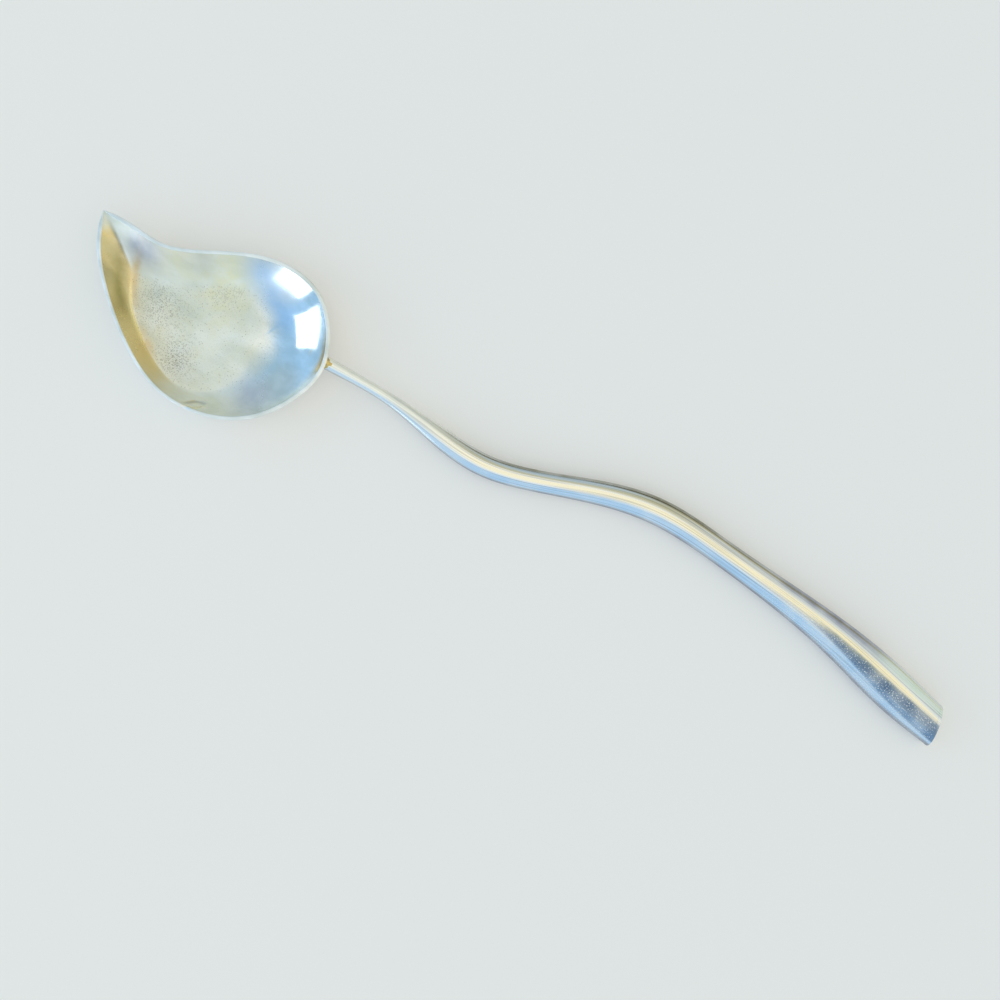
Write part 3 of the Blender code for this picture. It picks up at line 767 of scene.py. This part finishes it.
def handle_values(x, angle):
    """Where points lie along and round the handle, and the share there of dings, chalk, films and painted
    reflections.

    The lean is the angle from the crown, in radians, which is positive on the side of +Y.
    """
    half_width, crown = handle_sizes(x)[1:3]
    lean = (angle + math.pi / 2) % (2 * math.pi) - math.pi
    across = lean * 0.5 * (half_width + crown)
    dings = (0.1 + 0.9 * smooth_step(*DINGS_START, x)) * (1 - 0.9 * smooth_step(0.0, 0.3, lean))
    by_end = smooth_step(*FLANK_CHANGE, x)
    last = smooth_step(*GREEN_START, x)
    # Lavender on the +Y flank towards the end: partly tarnish, partly painted reflection
    flank_tarnish_and_reflection = smooth_step(0.3, 0.7, lean) * by_end * (1 - last)
    # Painted dark reflection band on the -Y side of the crown by the end
    low = -0.5 - DARK_REFLECTION_SPREAD * (x - DARK_REFLECTION_MIDDLE)
    dark_reflection_band = smooth_step(*DARK_REFLECTION_START, x) * smooth_step(low, low + 0.12, lean)
    return {
        "run": np.stack((x, across, np.zeros_like(x)), axis=-1),
        "dings": dings,
        # Painted reflection of the sky: pale blue on the -Y flank
        "sky_reflection": smooth_step(0.1, 0.4, -lean),
        # Lavender low on the -Y flank and on the +Y flank by the end: partly tarnish, partly painted
        # reflection of the dark surroundings
        "lavender": np.maximum(smooth_step(0.9, 1.3, -lean), flank_tarnish_and_reflection),
        # Painted reflection of the darker room on the +Y flank, before the end
        "olive_room_reflection": smooth_step(0.6, 1.0, lean) * (1 - by_end) * (0.4 + 0.6 * smooth_step(*OLIVE_REFLECTION_START, x)),
        "dark_reflection_band": dark_reflection_band * (1 - smooth_step(0.02, 0.16, lean)),
        "green": last * smooth_step(0.35, 0.6, lean) * (1 - smooth_step(0.9, 1.2, lean)),
        "chalk": (1 - smooth_step(*CHALK_FADE, x)) * (0.4 + 0.6 * smooth_step(-0.5, 0.1, lean)),
    }


def make_shank(material):
    """Solid neck, fitted into the bowl's sheet, with its shoulder and the tapered tang in the handle."""
    angles = section_angles()
    start = meeting_x(angles, 0.0)
    share = np.linspace(0.0, 1.0, round(NECK_LENGTH / ROW_STEP) + 1)[:, None]
    neck_x = start + share * (SHOULDER_X - start)
    neck = handle_skin(neck_x, angles)
    tang_x = rows(SHOULDER_X, SHOULDER_X + TANG_LENGTH)[:, None] + np.zeros_like(angles)
    tang = handle_skin(tang_x, angles, -HANDLE_WALL - TANG_CLEARANCE)
    spine = handle_sizes(tang_x)[0]
    tang = spine + (tang - spine) * np.linspace(1.0, TANG_TAPER, len(tang))[:, None, None]
    x = np.concatenate((neck_x, tang_x))
    values = handle_values(x, np.broadcast_to(angles, x.shape))
    piece("shank_rod", np.concatenate((neck, tang)), material, ["shank"], values)


def make_solder(material):
    """Bead of solder in the corner of the neck and the bowl, whose thickness falls as (1 - share) squared."""
    angles = section_angles()
    start = meeting_x(angles, BEAD)
    share = np.linspace(0.0, 1.0, BEAD_STEPS + 1)[:, None]
    x = start + share * BEAD_LENGTH
    bead = handle_skin(x, angles, BEAD * (1 - share) ** 2)
    root = handle_skin(x, angles, -BEAD_ROOT)[::-1]
    collar = np.concatenate((bead, root))
    piece("joint_solder", collar, material, ["bowl_solder"], {}, ring=True)


def make_shell(name, material, node, start):
    """Half shell of the handle from one seam to the other: outer arc, and the inner one back."""
    arc = np.linspace(start, start + math.pi, SECTION_STEPS // 2 + 1)
    angles = np.concatenate((arc, arc[::-1]))
    grow = np.concatenate((np.zeros_like(arc), np.full_like(arc, -HANDLE_WALL)))
    x = rows(SHOULDER_X, HANDLE_END)[:, None] + np.zeros_like(angles)
    values = handle_values(x, np.broadcast_to(angles, x.shape))
    piece(name, handle_skin(x, angles, grow), material, [node], values)


def make_end_plate(material):
    """Plate on the slanted end, with a hairline joint, an edge eased by a quarter circle and no dings."""
    turn = np.linspace(0.0, math.pi / 2, EASE_STEPS)
    shift = np.concatenate(([0.0, HAIRLINE], END_PLATE + END_EASE * (np.sin(turn) - 1)))[:, None]
    grow = np.concatenate(([-HAIRLINE, 0.0], END_EASE * (np.cos(turn) - 1)))[:, None]
    angles = section_angles()
    x = np.full((len(shift), len(angles)), HANDLE_END)
    values = handle_values(x, np.broadcast_to(angles, x.shape))
    values["dings"] = np.zeros_like(x)
    plate = handle_skin(x, angles, grow, shift)
    piece("end_plate", plate, material, ["handle_end_plate"], values)


def make_floor():
    """Pale matt floor under the spoon, which keeps its shadow."""
    mesh = bpy.data.meshes.new("floor")
    corners = np.array([(-1, -1, 0), (1, -1, 0), (1, 1, 0), (-1, 1, 0)]) * FLOOR_SIDE
    mesh.from_pydata(corners, [], [(0, 1, 2, 3)])
    material = bpy.data.materials.new("pale_matt_board")
    material.use_nodes = True
    tree = material.node_tree
    shader = tree.nodes["Principled BSDF"]
    shader.inputs["Base Color"].default_value = linear("#EDEBE7")
    shader.inputs["Roughness"].default_value = 0.9
    path = add(tree, "LightPath", {})
    seen = path.outputs["Is Camera Ray"]
    for other in ("Is Glossy Ray", "Is Transmission Ray"):
        seen = add(tree, "Math", {0: seen, 1: path.outputs[other]}, operation="ADD",
                   use_clamp=True).outputs[0]
    share = add(tree, "Math", {0: seen, 1: FLOOR_GLOW}, operation="MULTIPLY").outputs[0]
    glow = add(tree, "Emission", {"Color": linear("#F4F3F0")}).outputs[0]
    board = add(tree, "MixShader", {0: share, 1: shader.outputs[0], 2: glow}).outputs[0]
    tree.links.new(board, tree.nodes["Material Output"].inputs["Surface"])
    mesh.materials.append(material)
    floor = bpy.data.objects.new("floor", mesh)
    bpy.context.scene.collection.objects.link(floor)


def make_world():
    """Soft room light: cream overhead, with broad soft patches of other light mixed over it."""
    world = bpy.data.worlds.new("soft_room")
    bpy.context.scene.world = world
    world.use_nodes = True
    tree = world.node_tree
    direction = add(tree, "TexCoord", {}).outputs["Generated"]
    light = linear(OVERHEAD)
    for *angles, code in ROOM_PATCHES:
        heading, height, inner, outer = np.radians(angles)
        level = math.cos(heading) * PICTURE_RIGHT + math.sin(heading) * PICTURE_UP
        axis = math.cos(height) * level + np.array([0.0, 0.0, math.sin(height)])
        lean = add(tree, "VectorMath", {0: direction, 1: axis}, operation="DOT_PRODUCT").outputs["Value"]
        share = add(tree, "MapRange", {"Value": lean, 1: math.cos(outer), 2: math.cos(inner)},
                    interpolation_type="SMOOTHSTEP").outputs[0]
        light = add(tree, "Mix", {0: share, 6: light, 7: linear(code)}, data_type="RGBA").outputs[2]
    tree.links.new(light, tree.nodes["Background"].inputs["Color"])
    tree.nodes["Background"].inputs["Strength"].default_value = ROOM_STRENGTH


def soft_light(name, width, height, radiance, code, place, turn):
    """Rectangle of even light, unseen by the camera, whose power is its radiance times pi times its area."""
    light = bpy.data.lights.new(name, "AREA")
    light.shape = "RECTANGLE"
    light.size = width
    light.size_y = height
    light.energy = radiance * math.pi * width * height
    light.color = linear(code)[:3]
    lamp = bpy.data.objects.new(name, light)
    lamp.location = place
    lamp.rotation_euler = turn
    lamp.visible_camera = False
    bpy.context.scene.collection.objects.link(lamp)
    return lamp


def make_lights():
    """Two upright panes, which the bowl mirrors, and a long ceiling light over the handle.

    Mirrors don't show the ceiling light itself, because the room's warm patches overhead stand for it there.
    """
    upright = (math.pi / 2, 0.0, CAMERA_TURN - math.pi / 2)
    for name, up_picture, height, width, pane_height in PANES:
        place = up_picture * PICTURE_UP - PANE_DISTANCE * PICTURE_RIGHT + np.array([0.0, 0.0, height])
        soft_light(name, width, pane_height, PANE_RADIANCE, "#F4FAFF", place, upright)
    place = np.array([*CAMERA_PLACE, CEILING_LIGHT_HEIGHT]) + CEILING_LIGHT_SHIFT * PICTURE_RIGHT
    ceiling = soft_light("ceiling_light", CEILING_LIGHT_LENGTH, CEILING_LIGHT_WIDTH, CEILING_RADIANCE,
                         "#FFEFC2", place, (0.0, 0.0, CAMERA_TURN))
    ceiling.visible_glossy = False


def make_camera():
    """Camera over the spoon, looking straight down."""
    data = bpy.data.cameras.new("camera")
    data.lens = LENS
    data.sensor_width = SENSOR
    camera = bpy.data.objects.new("camera", data)
    camera.location = (*CAMERA_PLACE, CAMERA_HEIGHT)
    camera.rotation_euler = (0.0, 0.0, CAMERA_TURN)
    bpy.context.scene.collection.objects.link(camera)
    bpy.context.scene.camera = camera


def main():
    """Build the pieces, the floor, the light and the camera."""
    bowl_metal = bowl_silver()
    handle_metal = handle_silver()
    make_bowl(bowl_metal)
    make_shank(handle_metal)
    make_solder(hard_solder())
    make_shell("front_shell", handle_metal, "handle_front_half", 0.0)
    make_shell("back_shell", handle_metal, "handle_back_half", math.pi)
    make_end_plate(handle_metal)
    make_floor()
    make_world()
    make_lights()
    make_camera()
    bpy.context.scene.view_settings.view_transform = "Standard"


main()
